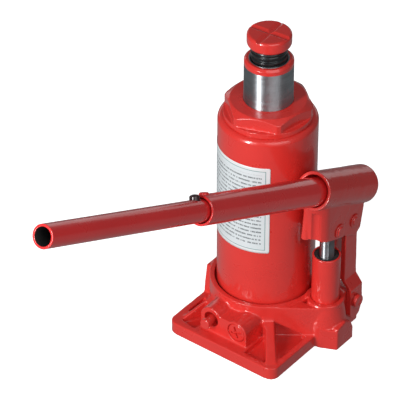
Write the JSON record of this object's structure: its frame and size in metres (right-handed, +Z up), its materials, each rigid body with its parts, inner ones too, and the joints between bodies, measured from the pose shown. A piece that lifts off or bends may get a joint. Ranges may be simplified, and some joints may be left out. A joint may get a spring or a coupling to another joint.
{
  "type": "hydraulic bottle jack",
  "caption": "Hydraulic bottle jack on a ribbed cast base, with a screw-topped ram, a side pump worked by a linked socket, and a two-piece tube handle.",
  "frame": {"origin": "where the ram axis meets the floor, on the underside of the base", "axes": "+Z up along the ram, +X from the ram towards the pump, -Y towards the release valve and the handle's free end"},
  "size_m": [0.1087, 0.3479, 0.2754],
  "materials": {
    "red_paint": "gloss red enamel over cast and drawn steel",
    "handle_paint": "gloss red enamel on steel tube",
    "ground_steel": "ground and polished steel",
    "plain_steel": "machined steel",
    "black_steel": "black oxide with a film of oil",
    "rubber": "matt nitrile rubber",
    "backup_plastic": "plain nylon",
    "brass": "turned brass",
    "button_black": "black pressed steel",
    "label_paper": "printed label film"
  },
  "bodies": {
    "base": {"base_casting": "red_paint", "reservoir_tank": "red_paint", "inner_cylinder": "plain_steel", "tank_nut": "red_paint", "nut_wiper": "rubber", "tank_top_oring": "rubber", "tank_gasket": "rubber", "cylinder_gasket": "rubber", "pump_cylinder": "red_paint", "pump_gasket": "rubber", "pump_wiper": "rubber", "link_lower_pin": "red_paint", "link_pin_ring": "plain_steel", "relief_plug": "red_paint", "relief_screw": "plain_steel", "relief_spring": "plain_steel", "relief_ball": "plain_steel", "suction_ball": "plain_steel", "suction_cage": "brass", "discharge_ball": "plain_steel", "discharge_spring": "plain_steel", "discharge_screw": "plain_steel", "filler_plug": "rubber", "label": "label_paper"},
    "ram": {"ram": "ground_steel", "ram_cup_seal": "rubber", "ram_backup_ring": "backup_plastic", "ram_stop_ring": "plain_steel"},
    "screw_ring": {"extension_stop_ring": "plain_steel"},
    "saddle": {"extension_screw": "black_steel", "saddle": "red_paint"},
    "piston": {"pump_piston": "ground_steel", "piston_oring": "rubber"},
    "socket": {"handle_socket": "red_paint", "piston_pin": "red_paint", "link_upper_pin": "red_paint", "socket_pin_rings": "plain_steel"},
    "links": {"outer_link": "red_paint", "inner_link": "red_paint"},
    "upper_handle": {"handle_upper": "handle_paint"},
    "lower_handle": {"handle_lower": "handle_paint", "button_spring": "plain_steel"},
    "button": {"handle_button": "button_black"},
    "release_ball": {"release_ball": "plain_steel"},
    "release_valve": {"release_valve": "red_paint", "release_oring": "rubber"}
  },
  "joints": [
    {"name": "ram_lift", "type": "slide", "parent": "base", "child": "ram", "axis": [0, 0, 1], "range_m": [-0.028, 0.097]},
    {"name": "screw_rise", "type": "slide", "parent": "ram", "child": "screw_ring", "axis": [0, 0, 1], "range_m": [-0.01, 0.05]},
    {"name": "screw_turn", "type": "hinge", "parent": "screw_ring", "child": "saddle", "pos_m": [0, 0, 0.2], "axis": [0, 0, 1], "range_deg": [-899, 4499]},
    {"name": "piston_stroke", "type": "slide", "parent": "base", "child": "piston", "axis": [0, 0, 1], "range_m": [-0.0094, 0.0081]},
    {"name": "handle_swing", "type": "hinge", "parent": "piston", "child": "socket", "pos_m": [0.05, 0.0038, 0.0972], "axis": [1, 0, 0], "range_deg": [-24, 28]},
    {"name": "link_swing", "type": "hinge", "parent": "base", "child": "links", "pos_m": [0.05, 0.0234, 0.0246], "axis": [1, 0, 0], "range_deg": [-1, 0.86]},
    {"name": "upper_handle_pull", "type": "slide", "parent": "socket", "child": "upper_handle", "axis": [0, -0.9048, 0.4258], "range_m": [0, 0.05]},
    {"name": "lower_handle_pull", "type": "slide", "parent": "upper_handle", "child": "lower_handle", "axis": [0, -0.9048, 0.4258], "range_m": [0, 0.035]},
    {"name": "button_press", "type": "slide", "parent": "lower_handle", "child": "button", "axis": [-0.3746, 0.3948, 0.8389], "range_m": [-0.0018, 0], "stiffness_N_per_m": 600},
    {"name": "release_travel", "type": "slide", "parent": "base", "child": "release_ball", "axis": [0, -1, 0], "range_m": [0, 0.003]},
    {"name": "release_turn", "type": "hinge", "parent": "release_ball", "child": "release_valve", "pos_m": [-0.0083, -0.04, 0.0205], "axis": [0, -1, 0], "range_deg": [0, 721]}
  ],
  "couplings": [
    {"joint": "screw_rise", "follows": "screw_turn", "m_per_rad": 0.00063662},
    {"joint": "piston_stroke", "follows": "handle_swing", "m_per_rad": -0.0189},
    {"joint": "link_swing", "follows": "handle_swing", "ratio": -0.0347},
    {"joint": "release_turn", "follows": "release_travel", "rad_per_m": 4188.8}
  ]
}
